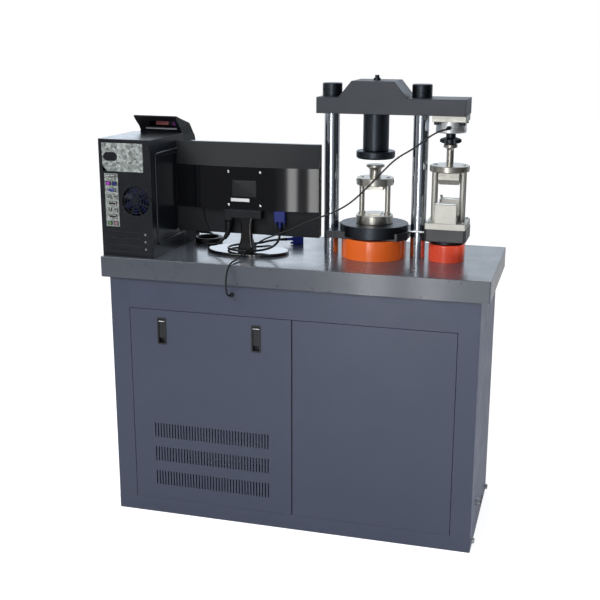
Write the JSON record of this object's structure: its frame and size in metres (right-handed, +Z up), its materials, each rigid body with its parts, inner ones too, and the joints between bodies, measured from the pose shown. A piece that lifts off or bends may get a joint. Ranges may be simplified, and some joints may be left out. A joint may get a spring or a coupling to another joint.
{
  "type": "flexural compression testing machine",
  "caption": "Cement flexural and compression testing machine on a steel cabinet, with its control computer, monitor, test jigs and leads.",
  "frame": {"origin": "on the floor under the middle of the worktop", "axes": "+X along the maintenance side towards the flexure unit, +Y from the maintenance side to the operator's side, +Z up"},
  "size_m": [1.16, 0.5215, 1.354],
  "materials": {
    "cabinet_paint": "fine texture powder coat",
    "worktop_paint": "satin powder coat",
    "crosshead_paint": "satin",
    "dark_paint": "satin",
    "orange_paint": "gloss",
    "grey_paint": "satin",
    "case_paint": "satin",
    "chromed_steel": "polished",
    "blackened_steel": "oil blackened",
    "ground_steel": "ground",
    "jig_steel": "machined, satin",
    "plated_steel": "zinc plated",
    "zinc_sheet": "zinc coated sheet",
    "latch_plastic": "satin",
    "black_plastic": "fine texture",
    "gloss_black_plastic": "polished",
    "red_plastic": "polished",
    "green_plastic": "polished",
    "blue_plastic": "polished",
    "screen_glass": "anti-glare",
    "cable_rubber": "satin"
  },
  "bodies": {
    "frame": {"bolster": "crosshead_paint", "cabinet_rails": "cabinet_paint", "cable_glands": "black_plastic", "column_nuts": "blackened_steel", "columns": "chromed_steel", "crosshead": "crosshead_paint", "fixed_panels": "cabinet_paint", "flexure_cylinder": "orange_paint", "load_cell": "ground_steel", "load_cell_cable": "cable_rubber", "load_cell_plate": "jig_steel", "load_cell_screws": "blackened_steel", "loading_button": "blackened_steel", "loose_plug": "blue_plastic", "main_cylinder": "orange_paint", "mains_plug": "cable_rubber", "monitor_foot": "gloss_black_plastic", "monitor_neck": "gloss_black_plastic", "pc_bezel": "gloss_black_plastic", "pc_case": "case_paint", "pc_rear_plates": "zinc_sheet", "plinth": "cabinet_paint", "power_lead": "cable_rubber", "power_lead_coil": "cable_rubber", "power_pack": "grey_paint", "side_fittings": "plated_steel", "side_panels": "cabinet_paint", "signal_cable": "cable_rubber", "spindle": "blackened_steel", "upper_platen": "blackened_steel", "worktop": "worktop_paint"},
    "cabinet_panel": {"vented_panel": "cabinet_paint", "latch_housings": "latch_plastic"},
    "left_latch": {"left_latch_paddle": "latch_plastic"},
    "right_latch": {"right_latch_paddle": "latch_plastic"},
    "drain_cock": {"drain_lever": "dark_paint"},
    "compression_ram": {"main_ram": "ground_steel", "guide_plate": "dark_paint", "lower_platen": "blackened_steel", "compression_jig_base": "jig_steel", "compression_jig_guide": "jig_steel"},
    "compression_head": {"compression_plunger": "jig_steel"},
    "flexure_ram_set": {"flexure_ram": "blackened_steel", "ram_block": "dark_paint", "guide_bars": "ground_steel", "flexure_jig_base": "jig_steel", "flexure_jig_block": "jig_steel", "flexure_jig_guide": "jig_steel"},
    "flexure_head": {"flexure_plunger": "jig_steel", "flexure_upper_block": "jig_steel"},
    "front_roller": {"front_support_roller": "ground_steel"},
    "rear_roller": {"rear_support_roller": "ground_steel"},
    "upper_roller": {"loading_roller": "ground_steel"},
    "fan_rotor": {"pc_fan": "blue_plastic"},
    "monitor": {"monitor_cover": "black_plastic", "monitor_screen": "screen_glass", "monitor_plug": "blue_plastic"},
    "stop_control": {"stop_button": "red_plastic"},
    "pump_control": {"pump_button": "green_plastic"}
  },
  "joints": [
    {"name": "panel_tilt", "type": "hinge", "parent": "frame", "child": "cabinet_panel", "pos_m": [-0.24, -0.225, 0.0485], "axis": [1, 0, 0], "range_deg": [0, 30]},
    {"name": "left_latch_pull", "type": "hinge", "parent": "cabinet_panel", "child": "left_latch", "pos_m": [-0.3925, -0.2218, 0.6325], "axis": [-1, 0, 0], "range_deg": [0, 35], "stiffness_Nm_per_rad": 0.05, "springref_deg": -28.65},
    {"name": "right_latch_pull", "type": "hinge", "parent": "cabinet_panel", "child": "right_latch", "pos_m": [-0.0945, -0.2218, 0.6325], "axis": [-1, 0, 0], "range_deg": [0, 35], "stiffness_Nm_per_rad": 0.05, "springref_deg": -28.65},
    {"name": "drain_cock_turn", "type": "hinge", "parent": "frame", "child": "drain_cock", "pos_m": [0.571, -0.1, 0.106], "axis": [1, 0, 0], "range_deg": [-90, 0]},
    {"name": "compression_ram_lift", "type": "slide", "parent": "frame", "child": "compression_ram", "axis": [0, 0, 1], "range_m": [0, 0.018]},
    {"name": "compression_head_press", "type": "slide", "parent": "compression_ram", "child": "compression_head", "axis": [0, 0, 1], "range_m": [-0.018, 0], "stiffness_N_per_m": 2000, "springref_m": 0.012},
    {"name": "flexure_ram_lift", "type": "slide", "parent": "frame", "child": "flexure_ram_set", "axis": [0, 0, 1], "range_m": [0, 0.014]},
    {"name": "flexure_head_press", "type": "slide", "parent": "flexure_ram_set", "child": "flexure_head", "axis": [0, 0, 1], "range_m": [-0.014, 0]},
    {"name": "front_roller_spin", "type": "hinge", "parent": "flexure_ram_set", "child": "front_roller", "pos_m": [0.424, -0.04, 0.994], "axis": [1, 0, 0], "continuous": true},
    {"name": "rear_roller_spin", "type": "hinge", "parent": "flexure_ram_set", "child": "rear_roller", "pos_m": [0.424, 0.06, 0.994], "axis": [1, 0, 0], "continuous": true},
    {"name": "upper_roller_spin", "type": "hinge", "parent": "flexure_head", "child": "upper_roller", "pos_m": [0.424, 0.01, 1.049], "axis": [1, 0, 0], "continuous": true},
    {"name": "fan_spin", "type": "hinge", "parent": "frame", "child": "fan_rotor", "pos_m": [-0.46387, -0.21453, 0.991], "axis": [0.0523, 0.9986, 0], "continuous": true},
    {"name": "monitor_tilt", "type": "hinge", "parent": "frame", "child": "monitor", "pos_m": [-0.17, -0.072, 0.941], "axis": [1, 0, 0], "range_deg": [0, 12]},
    {"name": "stop_button_press", "type": "slide", "parent": "frame", "child": "stop_control", "axis": [0, -1, 0], "range_m": [0, 0.0035]},
    {"name": "pump_button_press", "type": "slide", "parent": "frame", "child": "pump_control", "axis": [0, -1, 0], "range_m": [0, 0.003], "stiffness_N_per_m": 400, "springref_m": -0.003}
  ],
  "couplings": [
    {"joint": "flexure_head_press", "follows": "flexure_ram_lift", "ratio": -1}
  ]
}
